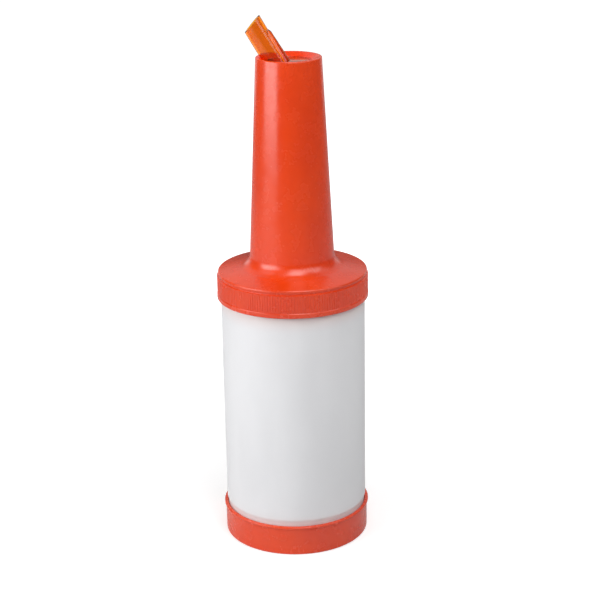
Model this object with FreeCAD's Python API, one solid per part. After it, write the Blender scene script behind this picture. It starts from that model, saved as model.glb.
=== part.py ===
"""Speed pour bottle: a quart juice bottle with a long pouring neck. Lengths are in millimetres.

The four pieces share one upright axis, and only the pour tube leans out of it:
    base_cap  opaque cap round the foot of the bottle, on which everything stands
    bottle    translucent moulded bottle with a wide mouth under the collar
    neck      opaque tapered neck, in one piece with its ribbed screw collar
    spout     clear tinted insert with a leaning pour tube and the air rib on its upper side
The origin is the centre of the base, +Z is up and the pour tube leans towards -X.
"""

import FreeCAD
import Part
import math
import os

# Base cap
CAP_HEIGHT = 19.6
CAP_FLOOR = 2.0
CAP_WALL = 1.5
CAP_DRAFT = 0.1  # how much narrower the skirt is at the bottom than under its bead
CAP_EDGE_ROUND = 1.2
CAP_BEAD_HEIGHT = 2.2  # rounded bead round the rim
CAP_BEAD_DEPTH = 0.85
CAP_BEAD_ROUND = 0.6
CAP_RIM_ROUND = 0.6
CAP_CLEARANCE = 0.3  # between the cap's wall and the foot of the bottle

# Bottle
BODY_RADIUS = 45.3
BODY_DRAFT = 0.2  # how much wider the body is at its shoulder than at its heel
BODY_HEIGHT = 135.8
BOTTLE_WALL = 1.6
BOTTLE_FLOOR = 2.0
BASE_ROUND = 3.0
BASE_RECESS = 1.2  # the middle of the underside is hollowed by this much
BASE_RING = 6.0  # width of the ring that the bottle stands on
FOOT_HEIGHT = 19.4
FOOT_INSET = 0.8  # how much narrower the foot is than the body
HEEL_HEIGHT = 2.2
HEEL_ROUND = 2.5
SHOULDER_ROUND = 0.7
FINISH_HEIGHT = 15.4  # the threaded ring that the collar screws over
FINISH_INSET = 1.9
LIP_ROUND = 0.6

# Collar of the neck
COLLAR_GAP = 0.3  # between the shoulder of the bottle and the collar's lower edge
COLLAR_HEIGHT = 17.4
COLLAR_WALL = 2.45
COLLAR_OVERHANG = 2.1  # how far the collar stands out past the body
COLLAR_EDGE_ROUND = 0.5
COLLAR_BEAD_HEIGHT = 2.8  # smooth bead below the ribs
COLLAR_BEAD_DEPTH = 0.15  # how far the bead stands out past the ribs
RIB_COUNT = 180
RIB_HEIGHT = 0.25
RIB_FILL = 0.5  # part of each rib's pitch that its foot takes
RIB_TOP_DROP = 3.0  # from the shoulder's edge down to the tops of the ribs
GROOVE_DEPTH = 0.4
GROOVE_HEIGHT = 1.0
GROOVE_CHAMFER = 0.2
CREST_INSET = 0.65  # how much narrower the shoulder's edge is than the collar
CREST_ROUND = 1.0
SEAL_WIDTH = 2.4  # flat land over the lip of the bottle, measured inwards from it

# Neck
SHOULDER_RISE = 3.7
CONE_FOOT_RADIUS = 26.75
CONE_HEIGHT = 130.2
CONE_TOP_RADIUS = 20.2
NECK_WALL = 1.9
FLARE_ROUND = 8.2
RIM_WIDTH = 1.7
RIM_ROUND = 0.7
DISH_DEPTH = 2.4
FLANGE_THICKNESS = 2.7
CEILING_ROUND = 1.5

# Spout insert
DISC_RADIUS = 14.4
DISC_THICKNESS = 1.6
DISC_CLEARANCE = 0.1
SEAT_WIDTH = 1.0
SKIRT_DEPTH = 6.0
SKIRT_WALL = 1.2
BEAD_HEIGHT = 0.8
BEAD_DEPTH = 0.35
BEAD_CLEARANCE = 0.2

# Pour tube, measured along its own leaning axis from the top of the disc
TUBE_LEAN = 30.0
TUBE_OFFSET = 8.6  # where its axis crosses the disc, to -X of the middle
TUBE_LENGTH = 25.8
TUBE_FOOT_RADIUS = 6.5
TUBE_TIP_RADIUS = 6.45
TUBE_WALL = 1.15
TIP_CUT = 19.6  # slant of the pouring edge against a square cut
AIR_RIB_OFFSET = 3.6
AIR_RIB_FOOT_RISE = 1.6  # how far its crest stands out past the tube, at the disc
AIR_RIB_END_RISE = 1.05  # and at its upper end
AIR_RIB_LENGTH = 16.0
AIR_RIB_SLANT = 58.0  # slant of its end face against a square cut
AIR_HOLE_RADIUS = 0.65
AIR_HOLE_MARGIN = 0.45  # plastic left between the air hole and the crest of the rib

# Heights and radii that follow from the sizes above
FOOT_RADIUS = BODY_RADIUS - FOOT_INSET
CAP_BORE = FOOT_RADIUS + CAP_CLEARANCE
SHOULDER_RADIUS = BODY_RADIUS + BODY_DRAFT
FINISH_RADIUS = SHOULDER_RADIUS - FINISH_INSET
HEEL_Z = CAP_FLOOR + FOOT_HEIGHT
SHOULDER_Z = HEEL_Z + HEEL_HEIGHT + BODY_HEIGHT
LIP_Z = SHOULDER_Z + FINISH_HEIGHT
COLLAR_Z = SHOULDER_Z + COLLAR_GAP
COLLAR_RADIUS = SHOULDER_RADIUS + COLLAR_OVERHANG
COLLAR_BORE = COLLAR_RADIUS - COLLAR_WALL
CREST_Z = COLLAR_Z + COLLAR_HEIGHT
CREST_RADIUS = COLLAR_RADIUS - CREST_INSET
BAND_RADIUS = COLLAR_RADIUS - RIB_HEIGHT
CONE_FOOT_Z = CREST_Z + SHOULDER_RISE
RIM_Z = CONE_FOOT_Z + CONE_HEIGHT
DISH_Z = RIM_Z - DISH_DEPTH
SEAT_Z = DISH_Z - DISC_THICKNESS
FLANGE_Z = SEAT_Z - FLANGE_THICKNESS
DISC_POCKET = DISC_RADIUS + DISC_CLEARANCE
SEAT_HOLE = DISC_POCKET - SEAT_WIDTH
SKIRT_RADIUS = SEAT_HOLE - DISC_CLEARANCE
TUBE_TAPER = (TUBE_TIP_RADIUS - TUBE_FOOT_RADIUS) / TUBE_LENGTH
AIR_RIB_TAPER = TUBE_TAPER + (AIR_RIB_END_RISE - AIR_RIB_FOOT_RISE) / AIR_RIB_LENGTH
AIR_RIB_FOOT_RADIUS = TUBE_FOOT_RADIUS + AIR_RIB_FOOT_RISE - AIR_RIB_OFFSET
AIR_RIB_END_CREST = AIR_RIB_OFFSET + AIR_RIB_FOOT_RADIUS + AIR_RIB_TAPER * AIR_RIB_LENGTH
AIR_RIB_REACH = AIR_RIB_LENGTH + AIR_RIB_END_RISE * math.tan(math.radians(AIR_RIB_SLANT))

EPS = 0.001
FAR = 60.0  # longer than anything that the cutting solids have to pass through


def rounded_outline(corners):
    """Closed face in the XZ plane through (radius, height, rounding) corners.

    Each corner is replaced by an arc of its rounding, tangent to both of its sides.
    """
    points = [FreeCAD.Vector(r, 0, z) for r, z, _ in corners]
    starts = []
    ends = []
    arcs = []
    for i, corner in enumerate(points):
        back = (points[i - 1] - corner).normalize()
        ahead = (points[(i + 1) % len(points)] - corner).normalize()
        half_angle = back.getAngle(ahead) / 2
        rounding = corners[i][2]
        if rounding < EPS:
            starts.append(corner)
            ends.append(corner)
            arcs.append(None)
            continue
        reach = rounding / math.tan(half_angle)
        centre = corner + (back + ahead).normalize() * (rounding / math.sin(half_angle))
        middle = centre + (corner - centre).normalize() * rounding
        start = corner + back * reach
        end = corner + ahead * reach
        starts.append(start)
        ends.append(end)
        arcs.append(Part.Arc(start, middle, end).toShape())
    edges = []
    for i, arc in enumerate(arcs):
        if arc is not None:
            edges.append(arc)
        following = starts[(i + 1) % len(points)]
        if ends[i].distanceToPoint(following) > EPS:
            edges.append(Part.makeLine(ends[i], following))
    return Part.Face(Part.Wire(edges))


def turned(corners):
    """Solid of revolution about Z of the rounded outline through the corners."""
    return rounded_outline(corners).revolve(FreeCAD.Vector(0, 0, 0), FreeCAD.Vector(0, 0, 1), 360)


def cone_radius(z):
    """Outer radius of the neck's straight taper at height z."""
    share = (z - CONE_FOOT_Z) / CONE_HEIGHT
    return CONE_FOOT_RADIUS + (CONE_TOP_RADIUS - CONE_FOOT_RADIUS) * share


def shoulder_z(radius):
    """Height of the collar's sloping top at a radius."""
    share = (CREST_RADIUS - radius) / (CREST_RADIUS - CONE_FOOT_RADIUS)
    return CREST_Z + SHOULDER_RISE * share


def make_base_cap():
    """Shallow cup whose rim is stiffened by a rounded bead."""
    skirt = CAP_BORE + CAP_WALL
    bead = skirt + CAP_BEAD_DEPTH
    bead_low = CAP_HEIGHT - CAP_BEAD_HEIGHT
    return turned([
        (0, 0, 0),
        (skirt - CAP_DRAFT, 0, CAP_EDGE_ROUND),
        (skirt, bead_low, CAP_BEAD_ROUND),
        (bead, bead_low + CAP_BEAD_DEPTH, CAP_BEAD_ROUND),
        (bead, CAP_HEIGHT, CAP_BEAD_ROUND),
        (CAP_BORE, CAP_HEIGHT, CAP_RIM_ROUND),
        (CAP_BORE, CAP_FLOOR, 0),
        (0, CAP_FLOOR, 0),
    ])


def make_bottle():
    """Thin-walled bottle: a narrower foot, a heel, a nearly straight body and a wide mouth."""
    stand = CAP_FLOOR
    ring_inner = FOOT_RADIUS - BASE_ROUND - BASE_RING
    floor = stand + BASE_RECESS + BOTTLE_FLOOR
    body_top = HEEL_Z + HEEL_HEIGHT
    wall = BOTTLE_WALL
    return turned([
        (0, stand + BASE_RECESS, 0),
        (ring_inner - BASE_RECESS, stand + BASE_RECESS, 0),
        (ring_inner, stand, 0),
        (FOOT_RADIUS, stand, BASE_ROUND),
        (FOOT_RADIUS, HEEL_Z, HEEL_ROUND),
        (BODY_RADIUS, body_top, HEEL_ROUND),
        (SHOULDER_RADIUS, SHOULDER_Z, SHOULDER_ROUND),
        (FINISH_RADIUS, SHOULDER_Z, 0),
        (FINISH_RADIUS, LIP_Z, LIP_ROUND),
        (FINISH_RADIUS - wall, LIP_Z, LIP_ROUND),
        (FINISH_RADIUS - wall, SHOULDER_Z - wall, wall),
        (SHOULDER_RADIUS - wall, SHOULDER_Z - 2 * wall, wall),
        (BODY_RADIUS - wall, body_top, HEEL_ROUND + wall),
        (FOOT_RADIUS - wall, HEEL_Z, HEEL_ROUND - wall),
        (FOOT_RADIUS - wall, floor, BASE_ROUND),
        (0, floor, 0),
    ])


def make_ribs():
    """Ring of upright ribs, one fine tooth per pitch, round the collar's plain band."""
    inner = BAND_RADIUS - COLLAR_WALL / 2
    bottom = COLLAR_Z + COLLAR_BEAD_HEIGHT
    top = CREST_Z - RIB_TOP_DROP
    pitch = 2 * math.pi / RIB_COUNT
    foot = pitch * RIB_FILL / 2
    points = []
    for i in range(RIB_COUNT):
        middle = i * pitch
        for radius, angle in (
            (BAND_RADIUS, middle - foot),
            (COLLAR_RADIUS, middle - foot / 3),
            (COLLAR_RADIUS, middle + foot / 3),
            (BAND_RADIUS, middle + foot),
        ):
            points.append(FreeCAD.Vector(radius * math.cos(angle), radius * math.sin(angle), bottom))
    outline = Part.Face(Part.makePolygon(points + points[:1]))
    ring = outline.extrude(FreeCAD.Vector(0, 0, top - bottom))
    return ring.cut(Part.makeCylinder(inner, top - bottom, FreeCAD.Vector(0, 0, bottom)))


def make_neck():
    """Collar, sloping shoulder, flared taper and dished mouth in one hollow piece."""
    bead = COLLAR_RADIUS + COLLAR_BEAD_DEPTH
    bead_top = COLLAR_Z + COLLAR_BEAD_HEIGHT
    rib_top = CREST_Z - RIB_TOP_DROP
    groove = CREST_RADIUS - GROOVE_DEPTH
    groove_low = rib_top + GROOVE_CHAMFER
    groove_high = groove_low + GROOVE_HEIGHT
    seal = FINISH_RADIUS - SEAL_WIDTH
    inner_foot = CONE_FOOT_RADIUS - NECK_WALL
    inner_top = cone_radius(FLANGE_Z) - NECK_WALL
    shell = turned([
        (COLLAR_BORE, COLLAR_Z, COLLAR_EDGE_ROUND),
        (bead, COLLAR_Z, COLLAR_EDGE_ROUND),
        (bead, bead_top, COLLAR_EDGE_ROUND),
        (BAND_RADIUS, bead_top + bead - BAND_RADIUS, 0),
        (BAND_RADIUS, rib_top, 0),
        (groove, groove_low, 0),
        (groove, groove_high, 0),
        (CREST_RADIUS, groove_high + GROOVE_CHAMFER, 0),
        (CREST_RADIUS, CREST_Z, CREST_ROUND),
        (CONE_FOOT_RADIUS, CONE_FOOT_Z, FLARE_ROUND),
        (CONE_TOP_RADIUS, RIM_Z, RIM_ROUND),
        (CONE_TOP_RADIUS - RIM_WIDTH, RIM_Z, RIM_ROUND),
        (DISC_POCKET, DISH_Z, 0),
        (DISC_POCKET, SEAT_Z, 0),
        (SEAT_HOLE, SEAT_Z, 0),
        (SEAT_HOLE, FLANGE_Z, 0),
        (inner_top, FLANGE_Z, CEILING_ROUND),
        (inner_foot, CONE_FOOT_Z - NECK_WALL, FLARE_ROUND + NECK_WALL),
        (seal, shoulder_z(seal) - NECK_WALL, 0),
        (seal, LIP_Z, 0),
        (COLLAR_BORE, LIP_Z, 0),
    ])
    tube_notch = make_tube_body(DISC_CLEARANCE)
    return shell.fuse(make_ribs()).cut(tube_notch).removeSplitter()


def tube_frame():
    """Foot point of the pour tube's axis, its direction, and the direction of its upper side."""
    lean = math.radians(TUBE_LEAN)
    foot = FreeCAD.Vector(-TUBE_OFFSET, 0, DISH_Z)
    along = FreeCAD.Vector(-math.sin(lean), 0, math.cos(lean))
    upper = FreeCAD.Vector(math.cos(lean), 0, math.sin(lean))
    return foot, along, upper


def leaning_cone(foot_radius, taper, sideways, below, above):
    """Cone parallel to the pour tube, from below to above its foot point along the axis."""
    foot, along, upper = tube_frame()
    start = foot + upper * sideways - along * below
    return Part.makeCone(
        foot_radius - taper * below,
        foot_radius + taper * above,
        below + above,
        start,
        along,
    )


def half_space(point, normal):
    """Large block whose one face goes through the point, on the side that the normal shows."""
    block = Part.makeBox(2 * FAR, 2 * FAR, 2 * FAR, FreeCAD.Vector(-FAR, -FAR, 0))
    turn = FreeCAD.Rotation(FreeCAD.Vector(0, 0, 1), normal)
    block.Placement = FreeCAD.Placement(point, turn)
    return block


def make_tube_body(margin):
    """Solid pour tube with its air rib, grown by a margin and standing on the seat."""
    foot, along, upper = tube_frame()
    tube = leaning_cone(TUBE_FOOT_RADIUS + margin, TUBE_TAPER, 0, DISC_RADIUS, TUBE_LENGTH + DISC_RADIUS)
    rib = leaning_cone(AIR_RIB_FOOT_RADIUS + margin, AIR_RIB_TAPER, AIR_RIB_OFFSET, DISC_RADIUS, TUBE_LENGTH)
    rib_crest = foot + upper * AIR_RIB_END_CREST + along * AIR_RIB_LENGTH
    slant = math.radians(AIR_RIB_SLANT)
    rib = rib.cut(half_space(rib_crest, along * math.cos(slant) + upper * math.sin(slant)))
    cut = math.radians(TUBE_LEAN + TIP_CUT)
    tip = half_space(foot + along * TUBE_LENGTH, FreeCAD.Vector(-math.sin(cut), 0, math.cos(cut)))
    seat = half_space(FreeCAD.Vector(0, 0, SEAT_Z), FreeCAD.Vector(0, 0, -1))
    return tube.fuse(rib).cut(tip).cut(seat)


def make_spout():
    """Disc with a snap-in skirt below it and the hollow pour tube leaning out of its top."""
    bead_top = FLANGE_Z - BEAD_CLEARANCE
    bead_low = bead_top - BEAD_HEIGHT
    skirt_z = SEAT_Z - SKIRT_DEPTH
    disc = Part.makeCylinder(DISC_RADIUS, DISC_THICKNESS, FreeCAD.Vector(0, 0, SEAT_Z))
    skirt = turned([
        (SKIRT_RADIUS - SKIRT_WALL, SEAT_Z, 0),
        (SKIRT_RADIUS - SKIRT_WALL, skirt_z, 0),
        (SKIRT_RADIUS, skirt_z, 0),
        (SKIRT_RADIUS, bead_low - BEAD_DEPTH, 0),
        (SKIRT_RADIUS + BEAD_DEPTH, bead_low, 0),
        (SKIRT_RADIUS + BEAD_DEPTH, bead_top, 0),
        (SKIRT_RADIUS, bead_top, 0),
        (SKIRT_RADIUS, SEAT_Z, 0),
    ])
    foot, along, upper = tube_frame()
    bore = leaning_cone(TUBE_FOOT_RADIUS - TUBE_WALL, TUBE_TAPER, 0, DISC_RADIUS, TUBE_LENGTH + DISC_RADIUS)
    hole_offset = AIR_RIB_END_CREST - AIR_HOLE_MARGIN - AIR_HOLE_RADIUS
    hole_start = foot + upper * hole_offset - along * DISC_RADIUS
    air_hole = Part.makeCylinder(AIR_HOLE_RADIUS, AIR_RIB_REACH + DISC_RADIUS, hole_start, along)
    pierced = disc.fuse(make_tube_body(0)).cut(bore).cut(air_hole)
    return pierced.fuse(skirt).removeSplitter()


def main():
    """Build every piece and write it under its own name."""
    os.makedirs("parts", exist_ok=True)
    pieces = {
        "base_cap": make_base_cap(),
        "bottle": make_bottle(),
        "neck": make_neck(),
        "spout": make_spout(),
    }
    for name, shape in pieces.items():
        solid = shape.Solids[0] if len(shape.Solids) == 1 else shape
        solid.exportStep(f"parts/{name}.step")
        print(name, "volume", round(solid.Volume / 1000, 2), "cm3, solids", len(shape.Solids), solid.isValid())


main()
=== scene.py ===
"""Speed pour bottle: a quart juice bottle with a long pouring neck, built and dressed in a studio.

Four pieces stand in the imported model's frame, and each takes the place of the solid of its name:
    base_cap  orange cap round the foot of the bottle
    bottle    milky blow-moulded bottle
    neck      orange neck, in one piece with its ribbed screw collar
    spout     amber insert with the leaning pour tube and its air rib
Sizes are written in millimetres, as the part's are, and become metres where a mesh is made.
"""

import logging
import math
from contextlib import contextmanager
from dataclasses import dataclass, field, replace
from enum import Enum
from typing import Any, Callable, Iterator, Optional, Sequence, Union

import bmesh
import bpy
from mathutils import Euler, Matrix, Vector


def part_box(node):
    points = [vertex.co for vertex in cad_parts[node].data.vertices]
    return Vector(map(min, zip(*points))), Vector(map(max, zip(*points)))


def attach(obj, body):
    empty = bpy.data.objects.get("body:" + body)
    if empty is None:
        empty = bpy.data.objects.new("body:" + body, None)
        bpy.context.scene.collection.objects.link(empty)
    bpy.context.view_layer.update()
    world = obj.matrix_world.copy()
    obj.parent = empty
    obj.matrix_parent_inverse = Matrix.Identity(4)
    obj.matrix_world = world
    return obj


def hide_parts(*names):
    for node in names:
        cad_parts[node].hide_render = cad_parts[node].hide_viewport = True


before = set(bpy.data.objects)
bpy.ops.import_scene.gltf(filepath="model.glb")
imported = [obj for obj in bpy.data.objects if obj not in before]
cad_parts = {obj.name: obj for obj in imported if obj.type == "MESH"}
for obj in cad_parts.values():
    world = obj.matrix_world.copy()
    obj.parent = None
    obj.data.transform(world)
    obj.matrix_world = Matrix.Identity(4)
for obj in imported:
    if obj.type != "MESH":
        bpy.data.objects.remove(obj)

LOG = logging.getLogger("pour_bottle")
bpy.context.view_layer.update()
MM = 0.001
NEAR = 1e-6  # metres within which two points count as one
BOX_SLACK = 0.25  # millimetres by which a piece may miss the box of its solid
BODY_SEGMENTS = 360  # steps of a turn round the big pieces; the neck's ribs count on it
INSERT_SEGMENTS = 256
BODY_SHADE_ANGLE = 35.0  # degrees from which an edge is shaded as sharp
INSERT_SHADE_ANGLE = 30.0
MIX_SHARE, MIX_BELOW, MIX_ABOVE = 0, 6, 7  # inputs of a Mix node that blends colours
MIX_RESULT = 2

MeshPart = Union[bmesh.types.BMVert, bmesh.types.BMFace]
Colour = tuple[float, float, float, float]


class Pick(Enum):
    """What a selection in edit mode is made of."""

    CORNER = "VERT"
    FACE = "FACE"


class Join(Enum):
    """How a tool solid meets the piece it is used on."""

    ADD = "UNION"
    CUT = "DIFFERENCE"


# ----------------------------------------------------------------------------------------------
# Modelling by hand: outlines, selections and tool solids
# ----------------------------------------------------------------------------------------------


@dataclass(frozen=True)
class Corner:
    """One corner of a turned piece's outline, in millimetres from the axis and from the floor."""

    radius: float
    height: float
    rounding: float = 0.0
    steps: int = 5

    def place(self) -> Vector:
        """Where the corner lies in the drawing plane, in metres."""
        return Vector((self.radius * MM, 0.0, self.height * MM))


def only(piece: bpy.types.Object) -> None:
    """Make one object the active and the only selected one.

    Args:
        piece: the object that the next operator works on.
    """
    bpy.ops.object.select_all(action="DESELECT")
    piece.select_set(True)
    bpy.context.view_layer.objects.active = piece


@contextmanager
def editing(piece: bpy.types.Object) -> Iterator[None]:
    """Open a piece in edit mode with all of it selected, and leave that mode at the end."""
    only(piece)
    bpy.ops.object.mode_set(mode="EDIT")
    bpy.ops.mesh.select_mode(type="VERT")
    bpy.ops.mesh.select_all(action="SELECT")
    try:
        yield
    finally:
        bpy.ops.object.mode_set(mode="OBJECT")


def pick(piece: bpy.types.Object, kind: Pick, wanted: Callable[[MeshPart], bool]) -> int:
    """Select in edit mode the corners or faces that a test wants, and nothing else.

    Args:
        piece: the piece that is open in edit mode.
        kind: what is selected.
        wanted: the test by place or normal.

    Returns:
        How many were selected.
    """
    bpy.ops.mesh.select_mode(type=kind.value)
    bpy.ops.mesh.select_all(action="DESELECT")
    mesh = bmesh.from_edit_mesh(piece.data)
    parts = {Pick.CORNER: mesh.verts, Pick.FACE: mesh.faces}[kind]
    found = [part for part in parts if wanted(part)]
    for part in found:
        part.select_set(True)
    mesh.select_flush_mode()
    bmesh.update_edit_mesh(piece.data)
    return len(found)


def reach_of(before: Corner, corner: Corner, after: Corner) -> float:
    """How far back from a corner its rounding starts, along each side.

    Args:
        before: the corner before it.
        corner: the corner that is rounded.
        after: the corner after it.

    Returns:
        The length in metres.
    """
    back = (before.place() - corner.place()).normalized()
    ahead = (after.place() - corner.place()).normalized()
    return corner.rounding * MM / math.tan(back.angle(ahead) / 2)


def turn(name: str, outline: Sequence[Corner], segments: int) -> bpy.types.Object:
    """Draw an outline corner by corner, round its corners and spin it about the upright axis.

    An outline that doesn't start on the axis is closed, and gives a hollow ring.

    Args:
        name: the new piece's name.
        outline: the corners in order.
        segments: how many steps the spin takes.

    Returns:
        The turned piece, with its place in its mesh.
    """
    closed = outline[0].radius > 0
    bpy.ops.object.select_all(action="DESELECT")
    bpy.ops.mesh.primitive_plane_add(size=MM, location=(0, 0, 0))
    piece = bpy.context.object
    piece.name = piece.data.name = name
    with editing(piece):
        bpy.ops.mesh.merge(type="CENTER")
        bpy.ops.transform.translate(value=outline[0].place())
        stops = list(outline[1:]) + ([outline[0]] if closed else [])
        for here, there in zip(outline, stops):
            step = there.place() - here.place()
            bpy.ops.mesh.extrude_region_move(TRANSFORM_OT_translate={"value": step})
        bpy.ops.mesh.select_all(action="SELECT")
        bpy.ops.mesh.remove_doubles(threshold=NEAR)
        for i, corner in enumerate(outline):
            if corner.rounding <= 0:
                continue
            reach = reach_of(outline[i - 1], corner, outline[(i + 1) % len(outline)])
            place = corner.place()
            pick(piece, Pick.CORNER, lambda v: (v.co - place).length < NEAR)
            bpy.ops.mesh.bevel(offset=reach, segments=corner.steps, profile=0.5, affect="VERTICES")
        bpy.ops.mesh.select_all(action="SELECT")
        bpy.ops.mesh.spin(steps=segments, angle=2 * math.pi, center=(0, 0, 0), axis=(0, 0, 1))
        bpy.ops.mesh.select_all(action="SELECT")
        bpy.ops.mesh.remove_doubles(threshold=NEAR)
        bpy.ops.mesh.normals_make_consistent(inside=False)
    return piece


def combine(piece: bpy.types.Object, tool: bpy.types.Object, how: Join) -> None:
    """Add a tool solid to a piece or cut it away, and throw the tool away.

    Args:
        piece: the piece that is changed.
        tool: the solid it is changed with.
        how: whether the tool is added or cut away.
    """
    only(piece)
    bpy.ops.object.modifier_add(type="BOOLEAN")
    modifier = piece.modifiers[-1]
    modifier.operation = how.value
    modifier.object = tool
    modifier.solver = "EXACT"
    bpy.ops.object.modifier_apply(modifier=modifier.name)
    bpy.data.objects.remove(tool)


def slice_off(piece: bpy.types.Object, point: Vector, normal: Vector) -> None:
    """Cut off what lies beyond a plane and close the cut.

    Args:
        piece: the piece that is cut.
        point: a point of the plane, in metres.
        normal: the side that is cut off.
    """
    with editing(piece):
        bpy.ops.mesh.bisect(plane_co=point, plane_no=normal, use_fill=True, clear_outer=True)


def smooth(piece: bpy.types.Object, angle: float) -> None:
    """Shade a piece smoothly across every edge that is blunter than an angle in degrees."""
    only(piece)
    bpy.ops.object.shade_smooth_by_angle(angle=math.radians(angle))


def fits_node(piece: bpy.types.Object, node: str) -> bool:
    """Whether a piece fills the box of the solid it stands for, to the slack allowed.

    Args:
        piece: the finished piece.
        node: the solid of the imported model.

    Returns:
        True if every side of the two boxes agrees.
    """
    low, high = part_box(node)
    for i in range(3):
        places = [corner.co[i] for corner in piece.data.vertices]
        miss = max(abs(min(places) - low[i]), abs(max(places) - high[i]))
        if miss > BOX_SLACK * MM:
            return False
    return True


def settle(piece: bpy.types.Object, node: str, material: bpy.types.Material) -> None:
    """Give a finished piece its material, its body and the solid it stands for.

    Args:
        piece: the finished piece.
        node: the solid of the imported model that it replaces.
        material: the finish.

    Raises:
        ValueError: if the piece doesn't fill the solid's box.
    """
    if not fits_node(piece, node):
        raise ValueError(f"{piece.name} doesn't fill the box of {node}")
    piece.data.materials.clear()
    piece.data.materials.append(material)
    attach(piece, "root")
    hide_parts(node)
    faces = sum(len(face.vertices) - 2 for face in piece.data.polygons)
    LOG.info("%s: %d triangles, finish %s", piece.name, faces, material.name)


# ----------------------------------------------------------------------------------------------
# Finishes
# ----------------------------------------------------------------------------------------------


@dataclass(frozen=True)
class Pattern:
    """Soft random pattern in the piece's own coordinates."""

    size: float  # width of its patches in millimetres
    detail: float = 2.0  # how many finer layers it has
    roughness: float = 0.5  # how strong the finer layers are
    squeeze: float = 1.0  # scale along the upright axis; below 1 the patches are taller


@dataclass(frozen=True)
class Ramp:
    """Range of values and the range that it is stretched to."""

    low: float
    high: float
    to_low: float = 0.0
    to_high: float = 1.0


@dataclass(frozen=True)
class Relief:
    """How a pattern raises and lowers the surface."""

    strength: float  # how much of the effect shows
    depth: float  # height of the pattern in millimetres


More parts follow.
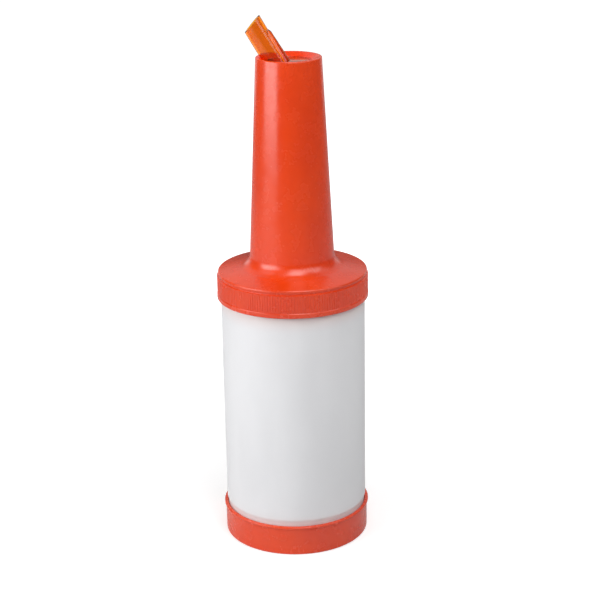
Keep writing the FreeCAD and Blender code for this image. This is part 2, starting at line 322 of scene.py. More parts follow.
class Recipe:
    """Node tree of one finish, built step by step round its shader."""

    def __init__(self, name: str) -> None:
        """Start a material that has only its shader and its output.

        Args:
            name: the finish's name.
        """
        self.material = bpy.data.materials.new(name)
        self.material.use_nodes = True
        self.nodes = self.material.node_tree.nodes
        self.links = self.material.node_tree.links
        self.shader = next(node for node in self.nodes if node.type == "BSDF_PRINCIPLED")
        self.output = next(node for node in self.nodes if node.type == "OUTPUT_MATERIAL")
        self.place = self.nodes.new("ShaderNodeTexCoord").outputs["Object"]

    def set(self, **values: Any) -> None:
        """Write uniform values on the shader's own sockets; underscores stand for spaces."""
        for key, value in values.items():
            self.shader.inputs[key.replace("_", " ")].default_value = value

    def feed(self, socket: str, source: bpy.types.NodeSocket) -> None:
        """Lead a pattern into one of the shader's sockets."""
        self.links.new(source, self.shader.inputs[socket])

    def fill(self, colour: Colour, density: float) -> None:
        """Tint clear plastic by its depth.

        Args:
            colour: what is left of white light.
            density: how fast the rest is lost, for each metre.
        """
        depth = self.nodes.new("ShaderNodeVolumeAbsorption")
        depth.inputs["Color"].default_value = colour
        depth.inputs["Density"].default_value = density
        self.links.new(depth.outputs["Volume"], self.output.inputs["Volume"])

    def pass_lamps(self, tint: Colour) -> None:
        """Let the lamps shine through clear plastic, instead of leaving it a solid shadow.

        Args:
            tint: what each face leaves of white light.
        """
        path = self.nodes.new("ShaderNodeLightPath")
        clear = self.nodes.new("ShaderNodeBsdfTransparent")
        clear.inputs["Color"].default_value = tint
        choice = self.nodes.new("ShaderNodeMixShader")
        self.links.new(path.outputs["Is Shadow Ray"], choice.inputs[0])
        self.links.new(self.shader.outputs["BSDF"], choice.inputs[1])
        self.links.new(clear.outputs["BSDF"], choice.inputs[2])
        self.links.new(choice.outputs["Shader"], self.output.inputs["Surface"])

    def _give(self, node: bpy.types.Node, socket: int, value: Any) -> None:
        """Link a socket of another node, or write a plain value, into a node's input."""
        if isinstance(value, bpy.types.NodeSocket):
            self.links.new(value, node.inputs[socket])
        else:
            node.inputs[socket].default_value = value

    def _squeezed(self, squeeze: float) -> bpy.types.NodeSocket:
        """The piece's own coordinates, scaled along the upright axis."""
        node = self.nodes.new("ShaderNodeMapping")
        node.inputs["Scale"].default_value = (1.0, 1.0, squeeze)
        self.links.new(self.place, node.inputs["Vector"])
        return node.outputs["Vector"]

    def noise(self, pattern: Pattern) -> bpy.types.NodeSocket:
        """Lay a soft random pattern.

        Args:
            pattern: its size and grain.

        Returns:
            The pattern, from 0 to 1.
        """
        place = self.place if pattern.squeeze == 1.0 else self._squeezed(pattern.squeeze)
        node = self.nodes.new("ShaderNodeTexNoise")
        node.inputs["Scale"].default_value = 1.0 / (pattern.size * MM)
        node.inputs["Detail"].default_value = pattern.detail
        node.inputs["Roughness"].default_value = pattern.roughness
        self.links.new(place, node.inputs["Vector"])
        return node.outputs["Fac"]

    def level(self, source: bpy.types.NodeSocket, ramp: Ramp) -> bpy.types.NodeSocket:
        """Stretch a range of a pattern to another range, with smooth ends.

        Args:
            source: the pattern.
            ramp: the two ranges.

        Returns:
            The stretched pattern.
        """
        node = self.nodes.new("ShaderNodeMapRange")
        node.interpolation_type = "SMOOTHSTEP"
        self.links.new(source, node.inputs["Value"])
        node.inputs["From Min"].default_value = ramp.low
        node.inputs["From Max"].default_value = ramp.high
        node.inputs["To Min"].default_value = ramp.to_low
        node.inputs["To Max"].default_value = ramp.to_high
        return node.outputs["Result"]

    def by_height(self, ramp: Ramp) -> bpy.types.NodeSocket:
        """Stretch a range of heights above the floor, in millimetres, to another range.

        Args:
            ramp: the two ranges.

        Returns:
            The stretched heights.
        """
        node = self.nodes.new("ShaderNodeSeparateXYZ")
        self.links.new(self.place, node.inputs[0])
        return self.level(node.outputs["Z"], replace(ramp, low=ramp.low * MM, high=ramp.high * MM))

    def maths(self, how: str, first: Any, second: Any) -> bpy.types.NodeSocket:
        """One sum of arithmetic on patterns or plain values."""
        node = self.nodes.new("ShaderNodeMath")
        node.operation = how
        self._give(node, 0, first)
        self._give(node, 1, second)
        return node.outputs["Value"]

    def blend(self, share: Any, first: Any, second: Any) -> bpy.types.NodeSocket:
        """Lay one colour over another.

        Args:
            share: how much of the second colour shows.
            first: the colour below.
            second: the colour above.

        Returns:
            The blended colour.
        """
        node = self.nodes.new("ShaderNodeMix")
        node.data_type = "RGBA"
        self._give(node, MIX_SHARE, share)
        self._give(node, MIX_BELOW, first)
        self._give(node, MIX_ABOVE, second)
        return node.outputs[MIX_RESULT]

    def bump(
        self,
        pattern: bpy.types.NodeSocket,
        relief: Relief,
        below: Optional[bpy.types.NodeSocket] = None,
    ) -> bpy.types.NodeSocket:
        """Raise and lower the surface by a pattern.

        Args:
            pattern: the heights.
            relief: how strong and how deep they are.
            below: the normal that it is laid over.

        Returns:
            The new normal.
        """
        node = self.nodes.new("ShaderNodeBump")
        node.inputs["Strength"].default_value = relief.strength
        node.inputs["Distance"].default_value = relief.depth * MM
        self.links.new(pattern, node.inputs["Height"])
        if below is not None:
            self.links.new(below, node.inputs["Normal"])
        return node.outputs["Normal"]


@dataclass(frozen=True)
class OrangePlastic:
    """Moulded polypropylene, coloured through, with a faint flow pattern and a satin skin."""

    name: str
    scuff_height: tuple[float, float]  # millimetres between which the rubbing dies away
    colour: Colour = (0.79, 0.054, 0.0030, 1.0)
    deep: Colour = (0.725, 0.043, 0.0027, 1.0)
    rubbed: Colour = (0.86, 0.16, 0.07, 1.0)
    ior: float = 1.49
    shine: float = 0.74
    flow: Pattern = Pattern(34.0, 3.0, 0.55, squeeze=0.45)
    flow_ramp: Ramp = Ramp(0.36, 0.66)
    flow_relief: Relief = Relief(0.25, 0.12)
    speck: Pattern = Pattern(1.1, 2.0, 0.6)
    speck_ramp: Ramp = Ramp(0.4, 0.75, 0.0, 0.16)
    scratches: Pattern = Pattern(0.5, squeeze=0.05)
    scratch_ramp: Ramp = Ramp(0.6, 0.78)
    scratch_pale: float = 0.35
    scratch_rough: float = 0.22
    rub: Pattern = Pattern(14.0)
    rub_ramp: Ramp = Ramp(0.4, 0.62)
    skin: Pattern = Pattern(9.0, 3.0, 0.6)
    skin_roughness: Ramp = Ramp(0.3, 0.7, 0.215, 0.295)
    peel: Pattern = Pattern(2.6)
    peel_relief: Relief = Relief(0.16, 0.02)
    grain: Pattern = Pattern(0.45, 1.0)
    grain_relief: Relief = Relief(0.06, 0.005)

    def make(self) -> bpy.types.Material:
        """Mix the finish.

        Returns:
            The material.
        """
        mix = Recipe(self.name)
        flow = mix.noise(self.flow)
        body = mix.blend(mix.level(flow, self.flow_ramp), self.colour, self.deep)
        speck = mix.level(mix.noise(self.speck), self.speck_ramp)
        body = mix.blend(speck, body, self.deep)
        scratches = mix.level(mix.noise(self.scratches), self.scratch_ramp)
        scuff = mix.maths("MULTIPLY", scratches, self._wear(mix))
        pale = mix.maths("MULTIPLY", scuff, self.scratch_pale)
        mix.feed("Base Color", mix.blend(pale, body, self.rubbed))
        skin = mix.level(mix.noise(self.skin), self.skin_roughness)
        rough = mix.maths("MULTIPLY", scuff, self.scratch_rough)
        mix.feed("Roughness", mix.maths("ADD", skin, rough))
        mix.set(IOR=self.ior, Specular_IOR_Level=self.shine)
        peel = mix.bump(mix.noise(self.peel), self.peel_relief)
        grain = mix.bump(mix.noise(self.grain), self.grain_relief, peel)
        mix.feed("Normal", mix.bump(flow, self.flow_relief, grain))
        return mix.material

    def _wear(self, mix: Recipe) -> bpy.types.NodeSocket:
        """Where hands and shelves rub: the foot of the piece, broken up by patches."""
        low, high = self.scuff_height
        foot = mix.by_height(Ramp(low, high, 1.0, 0.0))
        return mix.maths("MULTIPLY", foot, mix.level(mix.noise(self.rub), self.rub_ramp))


@dataclass(frozen=True)
class MilkyPlastic:
    """Unpigmented polyethylene: milky, waxy, faintly uneven from blow moulding; painted
    orange-tinted shade near the collar and the cap.
    """

    name: str
    colour: Colour = (0.80, 0.802, 0.818, 1.0)
    dull: Colour = (0.77, 0.772, 0.788, 1.0)
    # painted shade, tinted by the orange light that the collar and cap throw on the wall
    painted_orange_shade: Colour = (0.785, 0.665, 0.645, 1.0)  # the orange of its neighbours, shining through
    ior: float = 1.5
    shine: float = 0.5
    scatter: float = 0.001  # metres that light travels under the skin
    cloud: Pattern = Pattern(30.0, 3.0, squeeze=0.4)
    cloud_ramp: Ramp = Ramp(0.35, 0.7)
    streak: Pattern = Pattern(4.0, squeeze=0.06)
    streak_ramp: Ramp = Ramp(0.45, 0.8, 0.0, 0.25)
    streak_relief: Relief = Relief(0.12, 0.03)
    # painted orange-tinted shade, growing towards the foot of the collar
    painted_shade_under_collar: Ramp = Ramp(148.0, 159.0, 0.0, 0.55)
    # painted orange-tinted shade, fading upwards from the rim of the cap
    painted_shade_over_cap: Ramp = Ramp(20.0, 27.0, 0.3, 0.0)
    skin: Pattern = Pattern(7.0, 3.0, 0.6)
    skin_roughness: Ramp = Ramp(0.3, 0.7, 0.38, 0.47)
    wave: Pattern = Pattern(22.0)
    wave_relief: Relief = Relief(0.3, 0.25)
    grain: Pattern = Pattern(0.5)
    grain_relief: Relief = Relief(0.25, 0.008)

    def make(self) -> bpy.types.Material:
        """Mix the finish.

        Returns:
            The material.
        """
        mix = Recipe(self.name)
        streak = mix.noise(self.streak)
        cloud = mix.level(mix.noise(self.cloud), self.cloud_ramp)
        body = mix.blend(cloud, self.colour, self.dull)
        body = mix.blend(mix.level(streak, self.streak_ramp), body, self.dull)
        # Painted orange-tinted shade under the collar and over the cap, standing in for the light
        # those orange parts throw on the wall.
        body = mix.blend(mix.by_height(self.painted_shade_under_collar), body, self.painted_orange_shade)
        mix.feed("Base Color", mix.blend(mix.by_height(self.painted_shade_over_cap), body, self.painted_orange_shade))
        mix.feed("Roughness", mix.level(mix.noise(self.skin), self.skin_roughness))
        mix.set(IOR=self.ior, Specular_IOR_Level=self.shine)
        mix.set(Subsurface_Weight=1.0, Subsurface_Radius=(1, 1, 1), Subsurface_Scale=self.scatter)
        wave = mix.bump(mix.noise(self.wave), self.wave_relief)
        lines = mix.bump(streak, self.streak_relief, wave)
        mix.feed("Normal", mix.bump(mix.noise(self.grain), self.grain_relief, lines))
        return mix.material


@dataclass(frozen=True)
class AmberPlastic:
    """Clear plastic tinted amber, a little redder where the air rib makes it thicker."""

    name: str
    colour: Colour = (0.79, 0.40, 0.05, 1.0)
    deep: Colour = (0.75, 0.32, 0.03, 1.0)
    depth_colour: Colour = (1.0, 0.80, 0.0, 1.0)
    depth_strength: float = 1000.0
    lamp_tint: Colour = (0.96, 0.75, 0.40, 1.0)
    ior: float = 1.5
    shine: float = 0.22
    clearness: float = 0.975
    flow: Pattern = Pattern(6.0, squeeze=0.4)
    flow_ramp: Ramp = Ramp(0.3, 0.8, 0.0, 0.18)
    skin: Pattern = Pattern(2.0, 3.0, 0.6)
    skin_roughness: Ramp = Ramp(0.3, 0.75, 0.06, 0.10)
    wave: Pattern = Pattern(3.0)
    wave_relief: Relief = Relief(0.1, 0.05)

    def make(self) -> bpy.types.Material:
        """Mix the finish.

        Returns:
            The material.
        """
        mix = Recipe(self.name)
        flow = mix.level(mix.noise(self.flow), self.flow_ramp)
        mix.feed("Base Color", mix.blend(flow, self.colour, self.deep))
        mix.feed("Roughness", mix.level(mix.noise(self.skin), self.skin_roughness))
        mix.set(IOR=self.ior, Specular_IOR_Level=self.shine, Transmission_Weight=self.clearness)
        mix.fill(self.depth_colour, self.depth_strength)
        mix.pass_lamps(self.lamp_tint)
        mix.feed("Normal", mix.bump(mix.noise(self.wave), self.wave_relief))
        return mix.material


# ----------------------------------------------------------------------------------------------
# The four pieces
# ----------------------------------------------------------------------------------------------


@dataclass
class BaseCap:
    """Shallow cap that the bottle stands in, stiffened by a rounded bead round its rim."""

    height: float = 19.6
    floor: float = 2.0
    skirt_radius: float = 46.3
    bore_radius: float = 44.8
    draft: float = 0.1
    edge_round: float = 1.2
    floor_round: float = 0.8
    bead_height: float = 2.2
    bead_depth: float = 0.85
    bead_round: float = 0.6
    finish: OrangePlastic = OrangePlastic("orange_cap_plastic", scuff_height=(1.0, 7.0))

    def build(self) -> bpy.types.Object:
        """Turn the cap from its outline.

        Returns:
            The piece.
        """
        bead = self.skirt_radius + self.bead_depth
        bead_z = self.height - self.bead_height
        outline = [
            Corner(0, 0),
            Corner(self.skirt_radius - self.draft, 0, self.edge_round, 8),
            Corner(self.skirt_radius, bead_z, self.bead_round, 4),
            Corner(bead, bead_z + self.bead_depth, self.bead_round, 4),
            Corner(bead, self.height, self.bead_round, 6),
            Corner(self.bore_radius, self.height, self.bead_round, 6),
            Corner(self.bore_radius, self.floor, self.floor_round, 4),
            Corner(0, self.floor),
        ]
        piece = turn("foot_cap", outline, BODY_SEGMENTS)
        smooth(piece, BODY_SHADE_ANGLE)
        return piece

    def dress(self, piece: bpy.types.Object) -> None:
        """Give the cap its plastic."""
        settle(piece, "base_cap", self.finish.make())


@dataclass
class Bottle:
    """Thin-walled bottle with a narrower foot, a heel, a straight body and a wide mouth."""

    stand: float = 2.0
    recess: float = 1.2
    recess_round: float = 0.8
    ring: float = 6.0
    base_round: float = 3.0
    foot_radius: float = 44.5
    body_radius: float = 45.3
    shoulder_radius: float = 45.5
    finish_radius: float = 43.6
    heel_z: float = 21.4
    body_z: float = 23.6
    shoulder_z: float = 159.4
    lip_z: float = 174.8
    wall: float = 1.6
    floor: float = 2.0
    heel_round: float = 2.5
    shoulder_round: float = 0.7
    lip_round: float = 0.6
    finish: MilkyPlastic = MilkyPlastic("milky_bottle_plastic")

    def build(self) -> bpy.types.Object:
        """Turn the bottle's outside and inside as one wall.

        Returns:
            The piece.
        """
        inner_ring = self.foot_radius - self.base_round - self.ring
        recess_z = self.stand + self.recess
        floor_z = recess_z + self.floor
        wall = self.wall
        outline = [
            Corner(0, recess_z),
            Corner(inner_ring - self.recess, recess_z, self.recess_round, 3),
            Corner(inner_ring, self.stand, self.recess_round, 3),
            Corner(self.foot_radius, self.stand, self.base_round, 6),
            Corner(self.foot_radius, self.heel_z, self.heel_round, 5),
            Corner(self.body_radius, self.body_z, self.heel_round, 5),
            Corner(self.shoulder_radius, self.shoulder_z, self.shoulder_round, 4),
            Corner(self.finish_radius, self.shoulder_z),
            Corner(self.finish_radius, self.lip_z, self.lip_round, 3),
            Corner(self.finish_radius - wall, self.lip_z, self.lip_round, 3),
            Corner(self.finish_radius - wall, self.shoulder_z - wall, wall, 3),
            Corner(self.shoulder_radius - wall, self.shoulder_z - 2 * wall, wall, 3),
            Corner(self.body_radius - wall, self.body_z, self.heel_round + wall, 4),
            Corner(self.foot_radius - wall, self.heel_z, self.heel_round - wall, 3),
            Corner(self.foot_radius - wall, floor_z, self.base_round, 5),
            Corner(0, floor_z),
        ]
        piece = turn("juice_bottle", outline, BODY_SEGMENTS)
        smooth(piece, BODY_SHADE_ANGLE)
        return piece

    def dress(self, piece: bpy.types.Object) -> None:
        """Give the bottle its milky plastic."""
        settle(piece, "bottle", self.finish.make())


@dataclass
class PourTube:
    """Leaning tube with an air rib on its upper side; lengths run along its own axis."""

    root: tuple[float, float] = (-8.6, 308.6)  # where the axis crosses the top of the disc: x, z
    seat_z: float = 307.0
    lean: float = 30.0
    length: float = 25.8
    below: float = 14.4
    foot_radius: float = 6.5
    tip_radius: float = 6.45
    wall: float = 1.15
    tip_cut: float = 19.6
    tip_stock: float = 8.0  # how far the tube runs on before its tip is cut
    bore_stock: float = 12.0
    rib_offset: float = 3.6
    rib_foot_rise: float = 1.6
    rib_end_rise: float = 1.05
    rib_length: float = 16.0
    rib_slant: float = 58.0
    hole_radius: float = 0.65
    hole_margin: float = 0.45
    sides: int = 128
    hole_sides: int = 32

    def along(self) -> Vector:
        """Direction in which the tube points."""
        lean = math.radians(self.lean)
        return Vector((-math.sin(lean), 0, math.cos(lean)))

    def upper(self) -> Vector:
        """Direction of the side that the air rib is on."""
        lean = math.radians(self.lean)
        return Vector((math.cos(lean), 0, math.sin(lean)))

    def foot(self) -> Vector:
        """Point of the axis at the top of the disc, in metres."""
        return Vector((self.root[0], 0, self.root[1])) * MM

    def taper(self) -> float:
        """How much the tube's radius grows for each millimetre along it."""
        return (self.tip_radius - self.foot_radius) / self.length

    def rib_taper(self) -> float:
        """How much the rib's radius grows for each millimetre along it."""
        return self.taper() + (self.rib_end_rise - self.rib_foot_rise) / self.rib_length

    def end_crest(self) -> float:
        """How far from the tube's axis the rib's crest lies at its upper end."""
        return self.foot_radius + self.rib_foot_rise + self.rib_taper() * self.rib_length

    def cone(
        self, name: str, radius: float, taper: float, offset: float, past: float
    ) -> bpy.types.Object:
        """Solid cone parallel to the tube.

        Args:
            name: the new solid's name.
            radius: its radius at the top of the disc.
            taper: how much the radius grows for each millimetre.
            offset: how far it is shifted towards the upper side.
            past: how far it goes past the tube's length.

        Returns:
            The solid.
        """
        depth = self.below + self.length + past
        middle = (self.length + past - self.below) / 2
        centre = self.foot() + (self.upper() * offset + self.along() * middle) * MM
        bpy.ops.object.select_all(action="DESELECT")
        bpy.ops.mesh.primitive_cone_add(
            vertices=self.sides,
            radius1=(radius - taper * self.below) * MM,
            radius2=(radius + taper * (self.length + past)) * MM,
            depth=depth * MM,
            location=centre,
            rotation=(0, -math.radians(self.lean), 0),
        )
        solid = bpy.context.object
        solid.name = name
        bpy.ops.object.transform_apply(location=True, rotation=True, scale=True)
        return solid

    def body(self, margin: float) -> bpy.types.Object:
        """Solid tube and air rib, standing on the seat and grown by a margin.

        Args:
            margin: how much larger every radius is.

        Returns:
            The solid.
        """
        tube = self.cone("pour_tube", self.foot_radius + margin, self.taper(), 0, self.tip_stock)
        rib_radius = self.foot_radius + self.rib_foot_rise - self.rib_offset
        rib = self.cone("air_rib", rib_radius + margin, self.rib_taper(), self.rib_offset, 0)
        slant = math.radians(self.rib_slant)
        crest = self.upper() * self.end_crest() + self.along() * self.rib_length
        facing = self.along() * math.cos(slant) + self.upper() * math.sin(slant)
        slice_off(rib, self.foot() + crest * MM, facing)
        combine(tube, rib, Join.ADD)
        cut = math.radians(self.lean + self.tip_cut)
        tip = self.foot() + self.along() * self.length * MM
        slice_off(tube, tip, Vector((-math.sin(cut), 0, math.cos(cut))))
        slice_off(tube, Vector((0, 0, self.seat_z * MM)), Vector((0, 0, -1)))
        return tube

    def bore(self) -> bpy.types.Object:
        """Solid that cuts the drink's way through the tube."""
        radius = self.foot_radius - self.wall
        return self.cone("pour_bore", radius, self.taper(), 0, self.bore_stock)

    def air_hole(self) -> bpy.types.Object:
        """Solid that cuts the air's way down the rib."""
        offset = self.end_crest() - self.hole_margin - self.hole_radius
        reach = self.rib_length + self.rib_end_rise * math.tan(math.radians(self.rib_slant))
        depth = self.below + reach
        middle = self.upper() * offset + self.along() * (depth / 2 - self.below)
        bpy.ops.object.select_all(action="DESELECT")
        bpy.ops.mesh.primitive_cylinder_add(
            vertices=self.hole_sides,
            radius=self.hole_radius * MM,
            depth=depth * MM,
            location=self.foot() + middle * MM,
            rotation=(0, -math.radians(self.lean), 0),
        )
        solid = bpy.context.object
        bpy.ops.object.transform_apply(location=True, rotation=True, scale=True)
        return solid


@dataclass
class Spout:
    """Insert: a disc with a snap-in skirt below it and the pour tube leaning out of its top."""

    disc_radius: float = 14.4
    disc_top: float = 308.6
    disc_round: float = 0.25
    seat_z: float = 307.0
    skirt_radius: float = 13.4
    skirt_wall: float = 1.2
    skirt_z: float = 301.0
    skirt_round: float = 0.2
    bead_low: float = 303.3
    bead_top: float = 304.1
    bead_depth: float = 0.35
    tube: PourTube = field(default_factory=PourTube)
    finish: AmberPlastic = AmberPlastic("amber_spout_plastic")

    def build(self) -> bpy.types.Object:
        """Turn the disc and its skirt, add the tube, and cut both ways through them.

        Returns:
            The piece.
        """
        disc = [
            Corner(0, self.seat_z),
            Corner(self.disc_radius, self.seat_z),
            Corner(self.disc_radius, self.disc_top, self.disc_round, 3),
            Corner(0, self.disc_top),
        ]
        piece = turn("pour_spout", disc, INSERT_SEGMENTS)
        combine(piece, self.tube.body(0), Join.ADD)
        combine(piece, self.tube.bore(), Join.CUT)
        combine(piece, self.tube.air_hole(), Join.CUT)
        combine(piece, self.skirt(), Join.ADD)
        smooth(piece, INSERT_SHADE_ANGLE)
        return piece

    def skirt(self) -> bpy.types.Object:
        """Turn the ring that snaps into the neck below the seat."""
        inner = self.skirt_radius - self.skirt_wall
        bead = self.skirt_radius + self.bead_depth
        outline = [
            Corner(inner, self.seat_z),
            Corner(inner, self.skirt_z, self.skirt_round, 2),
            Corner(self.skirt_radius, self.skirt_z, self.skirt_round, 2),
            Corner(self.skirt_radius, self.bead_low - self.bead_depth),
            Corner(bead, self.bead_low),
            Corner(bead, self.bead_top),
            Corner(self.skirt_radius, self.bead_top),
            Corner(self.skirt_radius, self.seat_z),
        ]
        return turn("spout_skirt", outline, INSERT_SEGMENTS)

    def dress(self, piece: bpy.types.Object) -> None:
        """Give the insert its tinted plastic."""
        settle(piece, "spout", self.finish.make())


@dataclass
class Neck:
    """Ribbed collar, sloping shoulder, flared taper and dished mouth in one hollow piece."""

    collar_z: float = 159.7
    collar_radius: float = 47.6
    collar_bore: float = 45.15
    collar_round: float = 0.5
    bead_radius: float = 47.75
    bead_top: float = 162.5
    rib_top: float = 174.1
    rib_height: float = 0.25
    rib_inset: float = 0.13
    rib_slack: float = 0.01  # how far the ribs stay inside the collar's radius
    groove_radius: float = 46.55
    groove_low: float = 174.3
    groove_high: float = 175.3
    groove_slope: float = 0.2
    groove_round: float = 0.15
    crest_radius: float = 46.95
    crest_z: float = 177.1
    crest_round: float = 1.0
    foot_radius: float = 26.75
    foot_z: float = 180.8
    flare: float = 8.2
    rim_radius: float = 20.2
    rim_z: float = 311.0
    rim_width: float = 1.7
    rim_round: float = 0.7
    dish_z: float = 308.6
    dish_round: float = 0.2
    seat_z: float = 307.0
    pocket: float = 14.5
    seat_hole: float = 13.5
    under_z: float = 304.3
    under_round: float = 1.5
    wall: float = 1.9
    lip_z: float = 174.8
    seal: float = 41.2
    clearance: float = 0.1
    tube: PourTube = field(default_factory=PourTube)
    finish: OrangePlastic = OrangePlastic("orange_neck_plastic", scuff_height=(160.0, 160.5))

    def taper(self, z: float) -> float:
        """Outer radius of the straight taper at a height."""
        share = (z - self.foot_z) / (self.rim_z - self.foot_z)
        return self.foot_radius + (self.rim_radius - self.foot_radius) * share

    def ledge_z(self) -> float:
        """Height at which the bead's sloping top meets the ribbed band."""
        return self.bead_top + self.bead_radius - self.collar_radius + self.rib_height

    def build(self) -> bpy.types.Object:
        """Turn the neck, raise its ribs, and cut the notch that keys the pour tube.

        Returns:
            The piece.
        """
        wall = self.wall
        band = self.collar_radius - self.rib_height
        slope = (self.foot_z - self.crest_z) / (self.crest_radius - self.foot_radius)
        seal_z = self.crest_z + slope * (self.crest_radius - self.seal) - wall
        outline = [
            Corner(self.collar_bore, self.collar_z, self.collar_round, 3),
            Corner(self.bead_radius, self.collar_z, self.collar_round, 4),
            Corner(self.bead_radius, self.bead_top, self.collar_round, 4),
            Corner(band, self.ledge_z()),
            Corner(band, self.rib_top),
            Corner(self.groove_radius, self.groove_low, self.groove_round, 2),
            Corner(self.groove_radius, self.groove_high, self.groove_round, 2),
            Corner(self.crest_radius, self.groove_high + self.groove_slope, self.groove_round, 2),
            Corner(self.crest_radius, self.crest_z, self.crest_round, 6),
            Corner(self.foot_radius, self.foot_z, self.flare, 14),
            Corner(self.rim_radius, self.rim_z, self.rim_round, 6),
            Corner(self.rim_radius - self.rim_width, self.rim_z, self.rim_round, 6),
            Corner(self.pocket, self.dish_z, self.dish_round, 2),
            Corner(self.pocket, self.seat_z),
            Corner(self.seat_hole, self.seat_z),
            Corner(self.seat_hole, self.under_z),
            Corner(self.taper(self.under_z) - wall, self.under_z, self.under_round, 4),
            Corner(self.foot_radius - wall, self.foot_z - wall, self.flare + wall, 10),
            Corner(self.seal, seal_z),
            Corner(self.seal, self.lip_z),
            Corner(self.collar_bore, self.lip_z),
        ]
        piece = turn("pouring_neck", outline, BODY_SEGMENTS)
        self.raise_ribs(piece)
        combine(piece, self.tube.body(self.clearance), Join.CUT)
        smooth(piece, BODY_SHADE_ANGLE)
        return piece

    def raise_ribs(self, piece: bpy.types.Object) -> None:
        """Raise every second strip of the collar's band as a rib with sloping sides.

        Args:
            piece: the turned neck.
        """
        middle = (self.ledge_z() + self.rib_top) / 2 * MM
        band = (self.collar_radius - self.rib_height) * MM
        near_band = self.rib_height * MM / 5
        pitch = 2 * math.pi / BODY_SEGMENTS

        def is_strip(face: bmesh.types.BMFace) -> bool:
            """Whether a face is one of the band's even strips."""
            centre = face.calc_center_median()
            on_band = abs(centre.z - middle) < MM and abs(centre.xy.length - band) < near_band
            turned = math.atan2(centre.y, centre.x) % (2 * math.pi)
            return on_band and int(turned / pitch) % 2 == 0

        with editing(piece):
            ribs = pick(piece, Pick.FACE, is_strip)
            bpy.ops.mesh.inset(
                thickness=self.rib_inset * MM,
                depth=(self.rib_height - self.rib_slack) * MM,
                use_individual=True,
                use_even_offset=True,
            )
        LOG.info("collar: %d ribs raised", ribs)

    def dress(self, piece: bpy.types.Object) -> None:
        """Give the neck its plastic."""
        settle(piece, "neck", self.finish.make())


# ----------------------------------------------------------------------------------------------
# Studio
# ----------------------------------------------------------------------------------------------


@dataclass(frozen=True)
class Softbox:
    """A flat soft light that faces the object; angles are seen from the object."""

    name: str
    azimuth: float  # degrees from the camera's side, growing to the camera's left
    elevation: float
    width: float
    height: float
    power: float
    distance: float = 1.3

    def hang(self, aim: Vector) -> None:
        """Hang the light and turn it to the object.

        Args:
            aim: the point it faces.
        """
        round_by, rise = math.radians(self.azimuth), math.radians(self.elevation)
        flat = math.cos(rise)
        away = Vector((-math.sin(round_by) * flat, -math.cos(round_by) * flat, math.sin(rise)))
        bpy.ops.object.light_add(
            type="AREA",
            location=aim + away * self.distance,
            rotation=(-away).to_track_quat("-Z", "Y").to_euler(),
        )
        light = bpy.context.object
        light.name = self.name
        light.data.shape = "RECTANGLE"
        light.data.size = self.width
        light.data.size_y = self.height
        light.data.energy = self.power


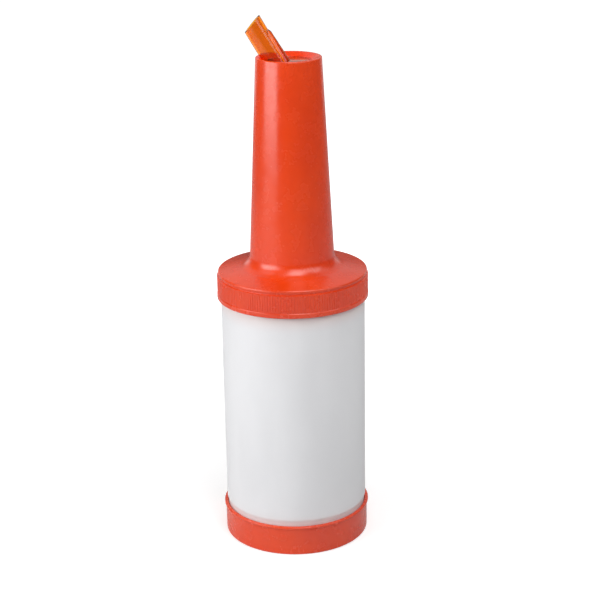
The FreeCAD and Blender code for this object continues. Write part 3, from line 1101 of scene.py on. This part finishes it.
@dataclass
class Studio:
    """Plain pale floor, white surroundings, soft lights and the camera."""

    lens: float = 97.786
    eye: tuple[float, float, float] = (0.0, -0.97878, 0.48536)
    tilt: float = -18.607
    swing: float = -0.261
    roll: float = -0.960
    floor_shade: float = 0.70
    floor_glow: float = 0.50
    floor_edge: tuple[float, float] = (0.16, 0.60)
    floor_gloss: float = 0.05
    gloss: float = 0.11
    ambient: float = 0.03
    floor_size: float = 5.0
    floor_drop: float = 0.0001
    sensor: float = 36.0
    near_clip: float = 0.01
    aim_z: float = 0.16
    lights: tuple[Softbox, ...] = (
        Softbox("left_softbox", 64.0, 18.0, 1.1, 0.75, 12.3),
        Softbox("high_left_softbox", 88.0, 50.0, 0.8, 0.6, 1.4),
        Softbox("top_softbox", -16.0, 67.0, 0.6, 0.6, 4.7),
        Softbox("front_softbox", -13.0, 45.0, 0.7, 0.6, 4.0),
        Softbox("right_fill", -60.0, 40.0, 0.9, 0.7, 4.5),
        Softbox("far_right_fill", -97.0, 45.0, 0.8, 0.6, 1.0),
        Softbox("back_softbox", 180.0, 40.0, 2.4, 1.2, 4.4),
        Softbox("back_left_strip", 150.0, 4.0, 0.5, 0.35, 0.5),
        Softbox("back_right_strip", -150.0, 4.0, 0.5, 0.35, 0.35),
    )

    def _seen(
        self, nodes: bpy.types.Nodes, links: bpy.types.NodeLinks, in_gloss: float
    ) -> bpy.types.NodeSocket:
        """How white a ray finds the surroundings, whatever light falls on them.

        Args:
            nodes: the tree's nodes.
            links: the tree's links.
            in_gloss: the share for rays that a glossy surface sends out.

        Returns:
            1 for the eye and for clear plastic, in_gloss for gloss and 0 for light on surfaces.
        """
        path = nodes.new("ShaderNodeLightPath")
        gloss = nodes.new("ShaderNodeMath")
        gloss.operation = "MULTIPLY"
        gloss.inputs[1].default_value = in_gloss
        links.new(path.outputs["Is Glossy Ray"], gloss.inputs[0])
        total = gloss.outputs[0]
        for name in ("Is Camera Ray", "Is Transmission Ray"):
            node = nodes.new("ShaderNodeMath")
            node.operation = "MAXIMUM"
            links.new(total, node.inputs[0])
            links.new(path.outputs[name], node.inputs[1])
            total = node.outputs[0]
        return total

    def surround(self) -> None:
        """White surroundings for the eye and clear plastic, dark in gloss and dim as a light."""
        world = bpy.data.worlds.new("studio_white")
        bpy.context.scene.world = world
        world.use_nodes = True
        nodes, links = world.node_tree.nodes, world.node_tree.links
        level = nodes.new("ShaderNodeMapRange")
        level.inputs["To Min"].default_value = self.ambient
        links.new(self._seen(nodes, links, self.gloss), level.inputs["Value"])
        back = next(node for node in nodes if node.type == "BACKGROUND")
        back.inputs["Color"].default_value = (1, 1, 1, 1)
        links.new(level.outputs["Result"], back.inputs["Strength"])

    def lay_floor(self) -> None:
        """Lay a plain pale floor that goes over into the white surroundings."""
        bpy.ops.object.select_all(action="DESELECT")
        bpy.ops.mesh.primitive_plane_add(size=self.floor_size, location=(0, 0, -self.floor_drop))
        floor = bpy.context.object
        floor.name = "studio_floor"
        material = bpy.data.materials.new("pale_floor")
        material.use_nodes = True
        nodes, links = material.node_tree.nodes, material.node_tree.links
        shader = next(node for node in nodes if node.type == "BSDF_PRINCIPLED")
        shade = self.floor_shade
        shader.inputs["Base Color"].default_value = (shade, shade, shade, 1)
        shader.inputs["Roughness"].default_value = 1.0
        shader.inputs["Specular IOR Level"].default_value = 0.0
        shader.inputs["Emission Color"].default_value = (1, 1, 1, 1)
        away = nodes.new("ShaderNodeVectorMath")
        away.operation = "LENGTH"
        links.new(nodes.new("ShaderNodeTexCoord").outputs["Object"], away.inputs[0])
        rise = nodes.new("ShaderNodeMapRange")
        rise.interpolation_type = "SMOOTHSTEP"
        near, far = self.floor_edge
        for key, value in (("From Min", near), ("From Max", far), ("To Min", self.floor_glow)):
            rise.inputs[key].default_value = value
        links.new(away.outputs["Value"], rise.inputs["Value"])
        glow = nodes.new("ShaderNodeMath")
        glow.operation = "MULTIPLY"
        links.new(rise.outputs["Result"], glow.inputs[1])
        links.new(self._seen(nodes, links, self.floor_gloss), glow.inputs[0])
        links.new(glow.outputs[0], shader.inputs["Emission Strength"])
        floor.data.materials.append(material)

    def set_camera(self) -> None:
        """Set up the camera in front of the bottle, a little above it."""
        turned = Euler((math.radians(90 + self.tilt), 0, math.radians(self.swing))).to_matrix()
        turned = turned @ Matrix.Rotation(math.radians(self.roll), 3, "Z")
        bpy.ops.object.camera_add(location=self.eye, rotation=turned.to_euler())
        camera = bpy.context.object
        camera.name = "studio_camera"
        camera.data.lens = self.lens
        camera.data.sensor_width = self.sensor
        camera.data.clip_start = self.near_clip
        bpy.context.scene.camera = camera

    def build(self) -> None:
        """Set up the whole studio."""
        bpy.context.scene.view_settings.view_transform = "Standard"
        self.surround()
        self.lay_floor()
        for light in self.lights:
            light.hang(Vector((0, 0, self.aim_z)))
        self.set_camera()
        LOG.info("studio: %d lights", len(self.lights))


def main() -> None:
    """Build and dress the pieces in order, then the studio."""
    logging.basicConfig(level=logging.INFO, format="%(name)s: %(message)s")
    for part in (BaseCap(), Bottle(), Neck(), Spout()):
        part.dress(part.build())
    Studio().build()


if __name__ == "__main__":
    main()
